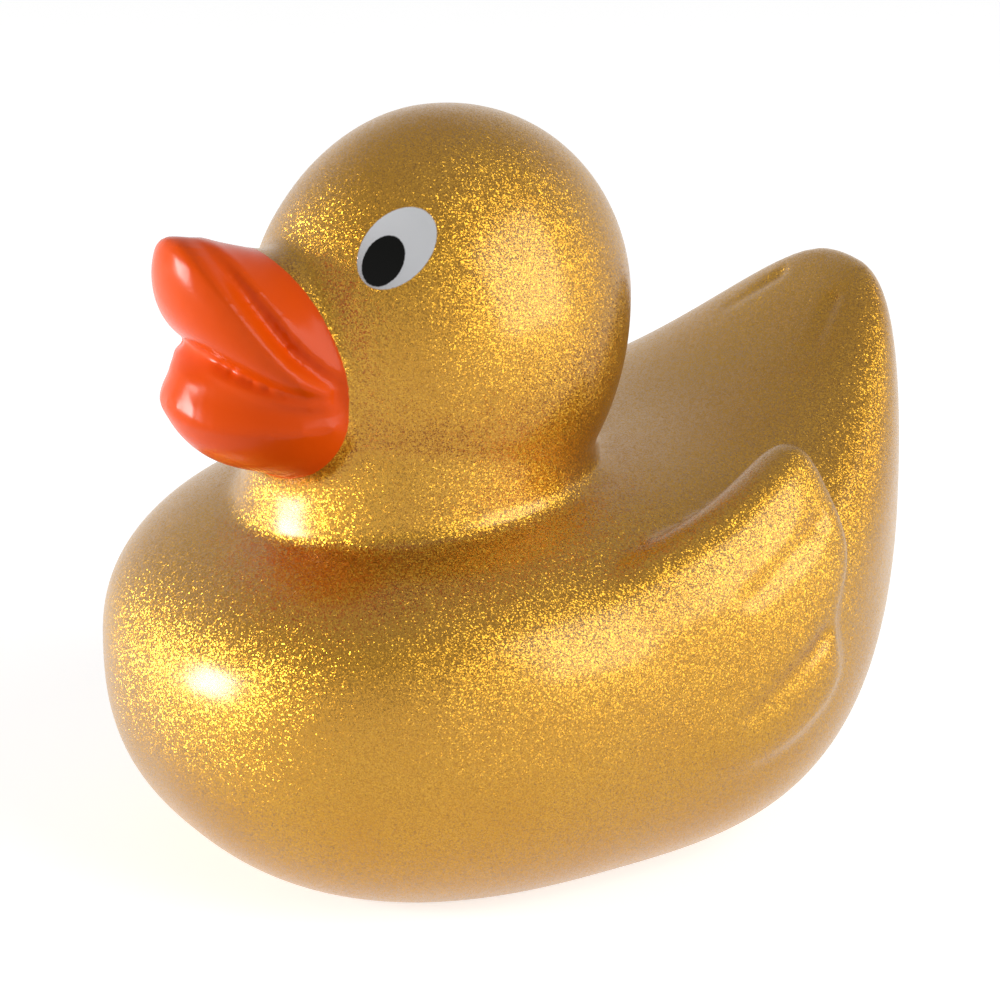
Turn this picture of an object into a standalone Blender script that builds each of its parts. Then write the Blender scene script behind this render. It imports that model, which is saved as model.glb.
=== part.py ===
"""A hollow rubber duck with a whistle in its base.

The duck looks along -Y, its left side is +X and it stands on z = 0.
Sizes are in millimetres, and MM turns them into metres where a mesh is filled.
"""
import math

import bmesh
import bpy
import numpy as np

MM = 0.001

# Torso, a long ball from breast to rump that rises and narrows into the tail. Where three values
# are given, they hold at the breast, along the torso and at the tail
TORSO_CENTRE_Y = -3.0
TORSO_FRONT = 39.2
TORSO_REAR = 45.2
TORSO_HALF_WIDTHS = (32.0, 32.5, 17.0)
TORSO_MIDDLES = (20.5, 22.0, 41.5)
TORSO_RISES = (17.0, 18.0, 34.0)
BREAST_DROP = 26.5
RUMP_DROP = 23.5
BREAST_SHARPNESS = 2.0
TAIL_SHARPNESS = 4.0
BACK_SQUARENESS = 2.7
BELLY_SQUARENESS = 2.5
BREAST_BLUNTNESS = 2.3
RUMP_BLUNTNESS = 2.9
BASE_TRIM = 0.5

# Head, a ball that is fuller at the cheeks than at the crown
HEAD_CENTRE_Y = -8.5
HEAD_CENTRE_Z = 56.5
HEAD_RISE = 19.0
HEAD_DROP = 24.5
CHEEK_HALF_WIDTH = 21.0
CROWN_HALF_WIDTH = 16.0
CHEEK_FRONT = 22.0
CROWN_FRONT = 16.5
CHEEK_BACK = 18.5
CROWN_BACK = 19.5

# Neck, a short column that leans back from the breast into the head
NECK_LOW_Y = -13.0
NECK_HIGH_Y = -8.5
NECK_LOW_RADIUS = 17.5
NECK_HIGH_RADIUS = 17.0
NECK_Z = 42.0
NECK_HALF_HEIGHT = 10.0
NECK_BLUNTNESS = 5.0

# Bill, lines that each bow from one mouth corner to the other: the root, the side's edge, the valley
# behind the upper lip, that lip, the mouth, the lower bill's rim and lip, and the root again. Each has
# its reach ahead of the origin, height at the middle, half width, corner reach, corner height and arch
BILL_LINES = (
    (18.0, 62.0, 8.0, 17.0, 55.0, 1.5),
    (29.0, 64.0, 10.5, 25.0, 54.0, 1.5),
    (34.0, 66.0, 12.0, 25.5, 53.5, 1.5),
    (35.5, 66.5, 9.0, 26.0, 53.0, 1.5),
    (37.5, 67.0, 12.0, 27.0, 52.5, 1.5),
    (39.0, 63.5, 12.0, 27.0, 52.0, 1.5),
    (37.5, 58.0, 11.5, 26.0, 52.0, 1.5),
    (34.5, 55.5, 11.0, 25.5, 51.5, 2.0),
    (36.0, 55.0, 12.0, 26.0, 51.0, 2.0),
    (37.5, 52.5, 10.5, 25.5, 50.5, 1.5),
    (39.0, 49.5, 12.0, 26.0, 49.5, 1.0),
    (35.5, 44.0, 10.5, 24.0, 46.0, 1.5),
    (30.0, 42.0, 9.0, 22.0, 43.0, 1.5),
    (18.0, 41.5, 8.0, 16.0, 43.0, 1.5),
)

# Wing, a thin lobe whose outer side continues the torso's side: the points that lead its outline
# as (y, z) seen from the side, the point they spread from, and how its outer side runs
WING_OUTLINE = (
    (-5.0, 35.0), (8.0, 39.5), (19.0, 45.5), (19.5, 40.0), (22.5, 33.0), (17.5, 26.5),
    (22.0, 21.0), (12.0, 13.0), (-6.0, 11.0), (-18.0, 20.0), (-15.0, 32.0),
)
WING_MIDDLE = (3.0, 26.0)
WING_FRONT_SWELL = 31.0
WING_REAR_SWELL = 33.5
WING_FRONT_RISE = 18.0
WING_REAR_RISE = 30.0
WING_SIDE_FROM = -18.0
WING_SIDE_TO = 14.0
WING_CENTRE_Z = 22.0
WING_DROP = 25.0
WING_SIDE_SQUARENESS = 2.6
WING_RIM = 2.4
WING_ROOT = 9.0
WING_BLUNTNESS = 4.0

# Creases pressed into the skin, each from its deep end to the end where it fades, as (x, y, z)
WING_CREASES = (
    ((29.5, 17.0, 37.0), (32.0, 8.0, 32.0)),
    ((32.0, 17.0, 26.0), (33.0, 8.0, 20.0)),
)
WING_CREASE_DEPTH = 0.7
WING_CREASE_WIDTH = 1.2
TAIL_CREASES = (
    ((5.0, 35.0, 50.5), (8.0, 31.0, 46.5)),
)
TAIL_CREASE_DEPTH = 0.4
TAIL_CREASE_WIDTH = 0.8
CREASE_FADING = 0.6

# Moulded skin and the hollow inside it
SKIN_VOXEL = 0.8
SKIN_TRIANGLES = 9400
WALL = 2.4
STEEP_WALL_INSET = 1.6
HOLLOW_VOXEL = 1.4
HOLLOW_TRIANGLES = 2200
HOLLOW_ROUNDS = 4

# Softened places: how much the whole skin is, then the wings' fronts, the neck's foot and the bill's root
SOFT_ROUNDS = 24
SOFT_EVERYWHERE = 0.25
WING_SOFT_X = 32.0
WING_SOFT_DEPTH = 6.0
WING_SOFT_Y = -2.0
WING_SOFT_REACH = 12.0
NECK_SOFT_Z = 40.0
NECK_SOFT_REACH = 4.0
BILL_ROOT_Y = -26.5
BILL_ROOT_REACH = 3.5
BILL_ROOT_Z = 56.0
BILL_ROOT_HALF_HEIGHT = 14.0
BILL_ROOT_HALF_WIDTH = 16.0

# Whistle, a turned plug pressed into the base, and the reed that lies on its seat
WHISTLE_Y = -2.0
WHISTLE_RADIUS = 6.0
WHISTLE_HEIGHT = 8.0
WHISTLE_RECESS = 0.4
WHISTLE_FLOOR = 1.6
WHISTLE_WALL = 1.4
BEAD_DEPTH = 0.9
BEAD_HEIGHT = 1.4
AIR_HOLE_RADIUS = 1.4
REED_THICKNESS = 0.5
REED_SLOT_WIDTH = 0.8
CLEARANCE = 0.3

# Colours of the body, the whistle and its reed
GOLD = (0.60, 0.38, 0.07)
WHITE = (0.85, 0.85, 0.83)
BRASS = (0.70, 0.52, 0.24)

BALL_SEGMENTS = 96
BALL_RINGS = 64


def clear_scene():
    """Remove what the scene holds at the start."""
    for item in list(bpy.data.objects):
        bpy.data.objects.remove(item, do_unlink=True)


def along(values, t):
    """A size that holds along the torso and turns into its breast and tail values at the ends."""
    breast, torso, tail = values
    toward_breast = np.maximum(-t, 0.0) ** BREAST_SHARPNESS
    toward_tail = np.maximum(t, 0.0) ** TAIL_SHARPNESS
    return torso + (breast - torso) * toward_breast + (tail - torso) * toward_tail


def between(low, high, t):
    """A size that runs evenly from low at t = -1 to high at t = 1."""
    return low + (high - low) * (t + 1.0) / 2.0


def bluntness(t, power):
    """Factor that turns the round end of a ball into a blunter one."""
    round_end = np.sqrt(np.maximum(1.0 - t * t, 1e-9))
    return np.maximum(1.0 - np.abs(t) ** power, 0.0) ** (1.0 / power) / round_end


def squareness(a, b, power):
    """Factor that turns a round section with directions a, b into a squarer one."""
    size = np.maximum(np.hypot(a, b), 1e-9)
    rounded = (np.abs(a / size) ** power + np.abs(b / size) ** power) ** (1.0 / power)
    return 1.0 / np.maximum(rounded, 0.5)


def mesh_object(name, bm):
    """Put a bmesh into a new object outside every collection."""
    bmesh.ops.recalc_face_normals(bm, faces=bm.faces)
    mesh = bpy.data.meshes.new(name)
    bm.to_mesh(mesh)
    bm.free()
    return bpy.data.objects.new(name, mesh)


def ball(name, place):
    """A ball whose unit points are moved by place(x, y, z) to millimetre positions."""
    bm = bmesh.new()
    bmesh.ops.create_uvsphere(bm, u_segments=BALL_SEGMENTS, v_segments=BALL_RINGS, radius=1.0)
    unit = np.array([vert.co for vert in bm.verts])
    moved = np.stack(place(*unit.T), axis=1) * MM
    for vert, point in zip(bm.verts, moved):
        vert.co = point
    return mesh_object(name, bm)


def torso(inset=0.0):
    """The torso with its tail, made smaller on all sides by inset."""
    def place(x, z, y):
        middle = (TORSO_REAR - TORSO_FRONT) / 2
        half_length = (TORSO_REAR + TORSO_FRONT) / 2 - inset
        end = np.where(y < 0, bluntness(y, BREAST_BLUNTNESS), bluntness(y, RUMP_BLUNTNESS))
        power = np.where(z > 0, BACK_SQUARENESS, BELLY_SQUARENESS)
        size = squareness(x, z, power) * end
        drawn_in = inset * (1.0 + STEEP_WALL_INSET * np.maximum(y, 0.0) ** 2)
        rise = along(TORSO_RISES, y)
        drop = between(BREAST_DROP, RUMP_DROP, y)
        height = np.where(z > 0, rise, drop) - drawn_in
        wide = x * size * (along(TORSO_HALF_WIDTHS, y) - drawn_in)
        lift = along(TORSO_MIDDLES, y) + z * size * height
        reach = TORSO_CENTRE_Y + half_length * y + middle * y * y
        return wide, reach, np.maximum(lift, inset - BASE_TRIM)
    return ball("torso", place)


def head(inset=0.0):
    """The head, made smaller on all sides by inset."""
    def place(x, y, z):
        front = between(CHEEK_FRONT, CROWN_FRONT, z)
        back = between(CHEEK_BACK, CROWN_BACK, z)
        reach = np.where(y < 0, front, back) - inset
        height = np.where(z > 0, HEAD_RISE, HEAD_DROP) - inset
        wide = between(CHEEK_HALF_WIDTH, CROWN_HALF_WIDTH, z) - inset
        return x * wide, HEAD_CENTRE_Y + y * reach, HEAD_CENTRE_Z + z * height
    return ball("head", place)


def neck(inset=0.0):
    """The leaning column that joins the head to the torso."""
    def place(x, y, z):
        radius = (between(NECK_LOW_RADIUS, NECK_HIGH_RADIUS, z) - inset) * bluntness(z, NECK_BLUNTNESS)
        centre_y = between(NECK_LOW_Y, NECK_HIGH_Y, z)
        return x * radius, centre_y + y * radius, NECK_Z + z * (NECK_HALF_HEIGHT - inset)
    return ball("neck", place)


def ring_point(points, share):
    """Points of the smooth closed curve that the given points lead, at shares of the way round."""
    points = np.array(points)
    count = len(points)
    whole, part = np.divmod(share * count, 1.0)
    index = whole.astype(int)
    rest = 1.0 - part
    weights = (rest ** 3, 4 - 6 * part ** 2 + 3 * part ** 3, 4 - 6 * rest ** 2 + 3 * rest ** 3, part ** 3)
    place = np.zeros((len(share), points.shape[1]))
    for step, weight in enumerate(weights):
        place += (weight / 6.0)[:, None] * points[(index + step - 1) % count]
    return place


def eased(value, start, end):
    """A smooth step from 0 at start to 1 at end."""
    share = np.clip((value - start) / (end - start), 0.0, 1.0)
    return share * share * (3.0 - 2.0 * share)


def wing_side(y, z):
    """Distance of the wing's outer side from the middle plane."""
    rearward = eased(y, WING_SIDE_FROM, WING_SIDE_TO)
    swell = WING_FRONT_SWELL + (WING_REAR_SWELL - WING_FRONT_SWELL) * rearward
    rise = WING_FRONT_RISE + (WING_REAR_RISE - WING_FRONT_RISE) * rearward
    along_torso = np.clip((y - TORSO_CENTRE_Y) / TORSO_REAR, -0.95, 0.95)
    above = np.clip((z - WING_CENTRE_Z) / rise, 0.0, 0.98)
    below = np.clip((WING_CENTRE_Z - z) / WING_DROP, 0.0, 0.98)
    level = (1.0 - np.maximum(above, below) ** WING_SIDE_SQUARENESS) ** (1.0 / WING_SIDE_SQUARENESS)
    plan = (1.0 - np.abs(along_torso) ** RUMP_BLUNTNESS) ** (1.0 / RUMP_BLUNTNESS)
    return swell * level * plan


def wing(side):
    """A wing that stands off the torso at its top and rear edges, on side +1 or -1."""
    def place(y, z, x):
        spread = np.hypot(y, z)
        share = np.arctan2(z, y) / math.tau % 1.0
        reach = ring_point(WING_OUTLINE, share) - WING_MIDDLE
        across = WING_MIDDLE + reach * spread[:, None]
        edge = (1.0 - np.minimum(spread, 1.0) ** WING_BLUNTNESS) ** (1.0 / WING_BLUNTNESS)
        thickness = np.where(x > 0, WING_RIM * edge, WING_ROOT * x)
        return side * (wing_side(*across.T) - WING_RIM + thickness), across[:, 0], across[:, 1]
    return ball("wing", place)


def bill():
    """The bill, a ball whose poles are the mouth corners and whose meridians are the bowed lines."""
    def place(x, y, z):
        share = np.arctan2(y, x) / math.tau % 1.0
        reach, height, half_width, corner_reach, corner_height, arch = ring_point(BILL_LINES, share).T
        bow = np.sqrt(np.maximum(1.0 - z * z, 0.0))
        forward = corner_reach + (reach - corner_reach) * bow
        return half_width * z, -forward, corner_height + (height - corner_height) * bow ** arch
    return ball("bill", place)


def evaluated(item, name):
    """A new object with the mesh that the item's modifiers give."""
    if item.name not in bpy.context.scene.collection.objects:
        bpy.context.scene.collection.objects.link(item)
    bpy.context.view_layer.update()
    graph = bpy.context.evaluated_depsgraph_get()
    mesh = bpy.data.meshes.new_from_object(item.evaluated_get(graph))
    mesh.name = name
    bpy.data.objects.remove(item, do_unlink=True)
    return bpy.data.objects.new(name, mesh)


def joined(items, name):
    """One object that holds the meshes of all items."""
    bm = bmesh.new()
    for item in items:
        solid = evaluated(item, name)
        bm.from_mesh(solid.data)
        bpy.data.objects.remove(solid, do_unlink=True)
    mesh = bpy.data.meshes.new(name)
    bm.to_mesh(mesh)
    bm.free()
    return bpy.data.objects.new(name, mesh)


def fused(items, name, voxel):
    """The outer skin of overlapping forms, as one closed mesh of even quads."""
    item = joined(items, name)
    remesh = item.modifiers.new("fuse", 'REMESH')
    remesh.mode = 'VOXEL'
    remesh.voxel_size = voxel * MM
    return evaluated(item, name)


def softened(item, name, weights, rounds):
    """Smooth the item's creases, each point by its weight."""
    group = item.vertex_groups.new(name="soft")
    for index, weight in enumerate(weights):
        group.add([index], float(weight), 'REPLACE')
    smooth = item.modifiers.new("soften", 'SMOOTH')
    smooth.factor = 0.5
    smooth.iterations = int(rounds)
    smooth.vertex_group = group.name
    return evaluated(item, name)


def thinned(item, name, triangles):
    """Reduce the mesh to about the given number of triangles."""
    count = sum(len(face.vertices) - 2 for face in item.data.polygons)
    reduce = item.modifiers.new("thin", 'DECIMATE')
    reduce.ratio = min(1.0, triangles / count)
    return evaluated(item, name)


def points_of(item):
    """The item's vertices in millimetres, one row each."""
    points = np.empty(len(item.data.vertices) * 3, dtype=np.float32)
    item.data.vertices.foreach_get("co", points)
    return points.reshape(-1, 3).astype(float) / MM


def duck_forms():
    """Every form that fuses into the duck's outer skin."""
    forms = [torso(), head(), neck(), bill()]
    for side in (1, -1):
        forms.append(wing(side))
    return forms


def soft_weights(points):
    """How much each point of the skin is smoothed, from 0 to 1."""
    x, y, z = np.abs(points[:, 0]), points[:, 1], points[:, 2]
    wing_front = near(x - WING_SOFT_X, WING_SOFT_DEPTH) * near(y - WING_SOFT_Y, WING_SOFT_REACH)
    neck_foot = near(np.hypot(x, y - NECK_LOW_Y) - NECK_LOW_RADIUS, NECK_SOFT_REACH)
    neck_foot = neck_foot * near(z - NECK_SOFT_Z, NECK_SOFT_REACH)
    bill_root = near(y - BILL_ROOT_Y, BILL_ROOT_REACH) * near(x, BILL_ROOT_HALF_WIDTH)
    bill_root = bill_root * near(z - BILL_ROOT_Z, BILL_ROOT_HALF_HEIGHT)
    return np.clip(SOFT_EVERYWHERE + wing_front + neck_foot + bill_root, 0.0, 1.0)


def near(distance, reach):
    """A weight that falls softly from 1 at no distance to 0 past reach."""
    return np.clip(1.5 * (1.0 - (distance / reach) ** 2), 0.0, 1.0)


def line_distance(points, start, end):
    """Distance of each point from the line between start and end, and its share of the way along."""
    start, end = np.array(start), np.array(end)
    run = end - start
    share = np.clip((points - start) @ run / (run @ run), 0.0, 1.0)
    return np.linalg.norm(points - start - share[:, None] * run, axis=1), share


def creased(item):
    """Press the wings' and the tail's creases into the skin."""
    points = points_of(item)
    normals = np.empty(len(points) * 3, dtype=np.float32)
    item.data.vertex_normals.foreach_get("vector", normals)
    normals = normals.reshape(-1, 3)
    mirrored = points * np.where(points[:, :1] < 0, (-1.0, 1.0, 1.0), (1.0, 1.0, 1.0))
    sunk = np.zeros(len(points))
    for lines, depth, width in ((WING_CREASES, WING_CREASE_DEPTH, WING_CREASE_WIDTH),
                                (TAIL_CREASES, TAIL_CREASE_DEPTH, TAIL_CREASE_WIDTH)):
        for start, end in lines:
            distance, share = line_distance(mirrored, start, end)
            fading = 1.0 - CREASE_FADING * share
            sunk = np.maximum(sunk, depth * fading * np.exp(-(distance / width) ** 2))
    moved = (points - normals * sunk[:, None]) * MM
    item.data.vertices.foreach_set("co", moved.ravel())
    item.data.update()


def trimmed(item, name):
    """Cut the item flat at z = 0 and close it there."""
    bm = bmesh.new()
    bm.from_mesh(item.data)
    everything = bm.verts[:] + bm.edges[:] + bm.faces[:]
    down = (0, 0, -1)
    cut = bmesh.ops.bisect_plane(bm, geom=everything, plane_co=(0, 0, 0), plane_no=down, clear_outer=True)
    rim = [part for part in cut["geom_cut"] if isinstance(part, bmesh.types.BMEdge)]
    bmesh.ops.edgeloop_fill(bm, edges=rim)
    bmesh.ops.triangulate(bm, faces=bm.faces[:])
    bpy.data.objects.remove(item, do_unlink=True)
    return mesh_object(name, bm)


def turned(name, profile, location, segments=64):
    """A solid turned about the vertical from a closed profile of (radius, height) points."""
    bm = bmesh.new()
    points = [bm.verts.new((radius * MM, 0.0, height * MM)) for radius, height in profile]
    for start, end in zip(points, points[1:] + points[:1]):
        bm.edges.new((start, end))
    mesh = bpy.data.meshes.new(name)
    bm.to_mesh(mesh)
    bm.free()
    item = bpy.data.objects.new(name, mesh)
    item.location = [value * MM for value in location]
    screw = item.modifiers.new("turn", 'SCREW')
    screw.angle = math.tau
    screw.steps = screw.render_steps = segments
    screw.use_merge_vertices = True
    screw.merge_threshold = 0.00001
    screw.use_normal_flip = True
    return item


def move_to(item, collection):
    """Put the item into the collection and take it out of every other."""
    for other in list(item.users_collection):
        other.objects.unlink(item)
    collection.objects.link(item)


def cutter(item, collection):
    """Keep an item as a cutter that shows as wire and never as part of the duck."""
    item.hide_render = True
    item.display_type = 'WIRE'
    move_to(item, collection)
    return item


def cut(item, tool, name):
    """Cut the tool out of the item with an exact Boolean."""
    boolean = item.modifiers.new(name, 'BOOLEAN')
    boolean.operation = 'DIFFERENCE'
    boolean.solver = 'EXACT'
    boolean.object = tool


def material(name, colour, roughness, metallic=0.0):
    """A Principled material with a plain colour."""
    surface = bpy.data.materials.new(name)
    surface.use_nodes = True
    shader = surface.node_tree.nodes["Principled BSDF"]
    shader.inputs["Base Color"].default_value = (*colour, 1.0)
    shader.inputs["Roughness"].default_value = roughness
    shader.inputs["Metallic"].default_value = metallic
    surface.diffuse_color = (*colour, 1.0)
    return surface


def hollow():
    """The space inside the skin, the same forms drawn in by the wall."""
    forms = [torso(WALL), head(WALL), neck(WALL)]
    item = fused(forms, "hollow", HOLLOW_VOXEL)
    item = softened(item, "hollow", np.ones(len(item.data.vertices)), HOLLOW_ROUNDS)
    return thinned(item, "hollow", HOLLOW_TRIANGLES)


def whistle_housing():
    """The turned plug: an open cup with an air hole, held in the base by a bead."""
    outer = WHISTLE_RADIUS
    inner = outer - WHISTLE_WALL
    bottom = WHISTLE_RECESS
    top = bottom + WHISTLE_HEIGHT
    seat = bottom + WHISTLE_FLOOR
    bead = WALL + CLEARANCE
    lip = seat + REED_THICKNESS + 2 * CLEARANCE
    profile = (
        (AIR_HOLE_RADIUS, seat),
        (AIR_HOLE_RADIUS, bottom),
        (outer, bottom),
        (outer, bead),
        (outer + BEAD_DEPTH, bead),
        (outer + BEAD_DEPTH, bead + BEAD_HEIGHT / 2),
        (outer, bead + BEAD_HEIGHT),
        (outer, top),
        (inner, top),
        (inner, lip + BEAD_HEIGHT),
        (inner - BEAD_DEPTH, lip),
        (inner, lip),
        (inner, seat),
    )
    return turned("whistle_housing", profile, (0.0, WHISTLE_Y, 0.0))


def whistle_reed(collection):
    """The thin round plate on the seat, split by a narrow slot from its edge."""
    radius = WHISTLE_RADIUS - WHISTLE_WALL - CLEARANCE
    bottom = WHISTLE_RECESS + WHISTLE_FLOOR + CLEARANCE
    bpy.ops.mesh.primitive_cylinder_add(vertices=64, radius=radius * MM, depth=REED_THICKNESS * MM)
    reed = bpy.context.object
    reed.name = "whistle_reed"
    reed.location = (0.0, WHISTLE_Y * MM, (bottom + REED_THICKNESS / 2) * MM)
    bpy.ops.mesh.primitive_cube_add(size=1.0)
    slot = bpy.context.object
    slot.name = "reed_slot"
    slot.scale = (REED_SLOT_WIDTH * MM, radius * 1.2 * MM, REED_THICKNESS * 3 * MM)
    slot.location = reed.location
    slot.location.y += radius * 0.8 * MM
    cut(reed, cutter(slot, collection), "slot")
    return reed


def whistle_bore():
    """The cutter for the hole in the base that the whistle fits."""
    radius = WHISTLE_RADIUS + CLEARANCE
    depth = WALL * 3
    bpy.ops.mesh.primitive_cylinder_add(vertices=48, radius=radius * MM, depth=depth * MM)
    bore = bpy.context.object
    bore.name = "whistle_bore"
    bore.location = (0.0, WHISTLE_Y * MM, 0.0)
    return bore


def duck_body(cutters):
    """The moulded shell: the fused skin, flat below, hollow inside and bored for the whistle."""
    skin = fused(duck_forms(), "duck_body", SKIN_VOXEL)
    skin = softened(skin, "duck_body", soft_weights(points_of(skin)), SOFT_ROUNDS)
    creased(skin)
    skin = thinned(skin, "duck_body", SKIN_TRIANGLES)
    skin = trimmed(skin, "duck_body")
    cut(skin, cutter(hollow(), cutters), "hollow")
    cut(skin, cutter(whistle_bore(), cutters), "bore")
    return skin


def main():
    """Build the duck."""
    clear_scene()
    duck = bpy.data.collections.new("rubber_duck")
    cutters = bpy.data.collections.new("cutters")
    for collection in (duck, cutters):
        bpy.context.scene.collection.children.link(collection)
    pieces = (
        (duck_body(cutters), material("gold flake paint", GOLD, 0.35, 0.8)),
        (whistle_housing(), material("white polyethylene", WHITE, 0.4)),
        (whistle_reed(cutters), material("spring brass", BRASS, 0.3, 1.0)),
    )
    for item, surface in pieces:
        item.data.materials.append(surface)
        item.data.shade_smooth()
        item.data.set_sharp_from_angle(angle=math.radians(50))
        move_to(item, duck)


main()
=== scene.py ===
"""Looks of a rubber duck sprayed with gold flake paint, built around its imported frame.

The duck looks along -Y, its left side is +X and it stands on z = 0.
Shapes are worked out in millimetres, and MM turns them into metres.
"""

import math

import bmesh
import bpy
import numpy as np
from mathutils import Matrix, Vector


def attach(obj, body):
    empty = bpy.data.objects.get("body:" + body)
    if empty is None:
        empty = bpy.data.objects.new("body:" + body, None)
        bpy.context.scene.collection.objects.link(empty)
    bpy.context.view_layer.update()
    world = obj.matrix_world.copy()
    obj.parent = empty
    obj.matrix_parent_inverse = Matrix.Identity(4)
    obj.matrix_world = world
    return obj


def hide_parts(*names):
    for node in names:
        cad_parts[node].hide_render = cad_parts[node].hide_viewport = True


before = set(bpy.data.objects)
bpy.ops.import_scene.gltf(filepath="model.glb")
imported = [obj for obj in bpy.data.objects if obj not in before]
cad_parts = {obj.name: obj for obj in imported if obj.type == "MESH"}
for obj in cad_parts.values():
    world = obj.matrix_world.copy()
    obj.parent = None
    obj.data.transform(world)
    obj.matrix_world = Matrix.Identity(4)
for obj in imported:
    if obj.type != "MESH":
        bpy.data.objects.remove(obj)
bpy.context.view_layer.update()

MM = 0.001

# Smallest number that the forms' rules divide by
TINY = 1e-9

# Torso, a long ball from breast to rump that rises and narrows into the tail. Where three values
# are given, they hold at the breast, along the torso and at the tail. The trim is how far the underside
# reaches below the base before it is cut flat
TORSO_CENTRE_Y = -3.0
TORSO_FRONT = 39.2
TORSO_REAR = 45.2
TORSO_HALF_WIDTHS = (32.0, 32.5, 17.0)
TORSO_MIDDLES = (20.5, 22.0, 41.5)
TORSO_RISES = (17.0, 18.0, 34.0)
BREAST_DROP = 26.5
RUMP_DROP = 23.5
BREAST_SHARPNESS = 2.0
TAIL_SHARPNESS = 4.0
BACK_SQUARENESS = 2.7
BELLY_SQUARENESS = 2.5
BREAST_BLUNTNESS = 2.3
RUMP_BLUNTNESS = 2.9
BASE_TRIM = 0.5

# Head, a ball that is fuller at the cheeks than at the crown
HEAD_CENTRE_Y = -8.5
HEAD_CENTRE_Z = 56.5
HEAD_RISE = 19.0
HEAD_DROP = 24.5
CHEEK_HALF_WIDTH = 21.0
CROWN_HALF_WIDTH = 16.0
CHEEK_FRONT = 22.0
CROWN_FRONT = 16.5
CHEEK_BACK = 18.5
CROWN_BACK = 19.5

# Neck, a short column that leans back from the breast into the head
NECK_LOW_Y = -13.0
NECK_HIGH_Y = -8.5
NECK_LOW_RADIUS = 17.5
NECK_HIGH_RADIUS = 17.0
NECK_Z = 42.0
NECK_HALF_HEIGHT = 10.0
NECK_BLUNTNESS = 5.0

# Bill, lines that each bow from one mouth corner to the other: the root, the side's edge, the valley
# behind the upper lip, that lip, the mouth, the lower bill's rim and lip, and the root again. Each has
# its reach ahead of the origin, height at the middle, half width, corner reach, corner height and arch
BILL_LINES = (
    (18.0, 62.0, 8.0, 17.0, 55.0, 1.5),
    (29.0, 64.0, 10.5, 25.0, 54.0, 1.5),
    (34.0, 66.0, 12.0, 25.5, 53.5, 1.5),
    (35.5, 66.5, 9.0, 26.0, 53.0, 1.5),
    (38.0, 67.0, 12.0, 27.0, 52.5, 1.5),
    (39.0, 63.5, 12.0, 27.0, 52.0, 1.5),
    (38.0, 57.5, 11.5, 26.0, 52.0, 1.5),
    (34.0, 54.5, 11.0, 25.5, 51.5, 2.0),
    (36.5, 54.0, 12.0, 26.0, 51.0, 2.0),
    (37.5, 52.5, 10.5, 25.5, 50.5, 1.5),
    (39.0, 49.5, 12.0, 26.0, 49.5, 1.0),
    (35.5, 44.0, 10.5, 24.0, 46.0, 1.5),
    (30.0, 42.0, 9.0, 22.0, 43.0, 1.5),
    (18.0, 41.5, 8.0, 16.0, 43.0, 1.5),
)

# Wing, a thin lobe whose outer side continues the torso's side: the points that lead its outline
# as (y, z) seen from the side, the point they spread from, and how its outer side runs. Past the two
# ends, as shares of the torso's length and of its own height, that side stays as far out as it is there
WING_OUTLINE = (
    (-5.0, 35.0), (8.0, 39.5), (19.0, 45.5), (19.5, 40.0), (22.5, 33.0), (17.5, 26.5),
    (22.0, 21.0), (12.0, 13.0), (-6.0, 11.0), (-18.0, 20.0), (-15.0, 32.0),
)
WING_MIDDLE = (3.0, 26.0)
WING_FRONT_SWELL = 31.0
WING_REAR_SWELL = 33.5
WING_FRONT_RISE = 18.0
WING_REAR_RISE = 30.0
WING_SIDE_FROM = -18.0
WING_SIDE_TO = 14.0
WING_CENTRE_Z = 22.0
WING_DROP = 25.0
WING_SIDE_SQUARENESS = 2.6
WING_PLAN_END = 0.95
WING_LEVEL_END = 0.98
WING_RIM = 2.4
WING_ROOT = 9.0
WING_BLUNTNESS = 4.0

# Creases pressed into the skin, each from its deep end to the end where it fades, as (x, y, z)
WING_CREASES = (
    ((29.5, 17.0, 37.0), (32.0, 8.0, 32.0)),
    ((32.0, 17.0, 26.0), (33.0, 8.0, 20.0)),
)
WING_CREASE_DEPTH = 0.7
WING_CREASE_WIDTH = 1.2
TAIL_CREASES = (
    ((5.0, 35.0, 50.5), (8.0, 31.0, 46.5)),
)
TAIL_CREASE_DEPTH = 0.4
TAIL_CREASE_WIDTH = 0.8
CREASE_FADING = 0.6

# Softened places: how much the whole skin is, then the wings' fronts, the neck's foot and the bill's
# root. The fullness is above 1, so that such a place is softened in full round its middle
SOFT_EVERYWHERE = 0.25
SOFT_FULLNESS = 1.5
WING_SOFT_X = 32.0
WING_SOFT_DEPTH = 6.0
WING_SOFT_Y = -2.0
WING_SOFT_REACH = 12.0
NECK_SOFT_Z = 40.0
NECK_SOFT_REACH = 4.0
BILL_ROOT_Y = -26.5
BILL_ROOT_REACH = 3.5
BILL_ROOT_Z = 56.0
BILL_ROOT_HALF_HEIGHT = 14.0
BILL_ROOT_HALF_WIDTH = 16.0

# Faces round each ball and from pole to pole
BALL_SEGMENTS = 96
BALL_RINGS = 64

# Fine skin of the moulded body: the size of its faces, the rounds of smoothing, how far each round moves
# a point toward its neighbours, and the angle in degrees from which an edge shows as sharp
SKIN_VOXEL = 0.57
SOFT_ROUNDS = 46
SOFT_STEP = 0.5
SHARP_ANGLE = 40.0

# Whistle's place in the base: its centre, the bore through the wall and the wider pocket above it, then
# how far below the base the cut starts, its steps round, and how close two points count as one
WHISTLE_Y = -2.0
BORE_RADIUS = 6.3
BORE_WALL = 2.4
POCKET_RADIUS = 8.5
POCKET_TOP = 10.0
POCKET_START = -2.0
POCKET_STEPS = 96
SAME_POINT = 0.001

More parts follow.
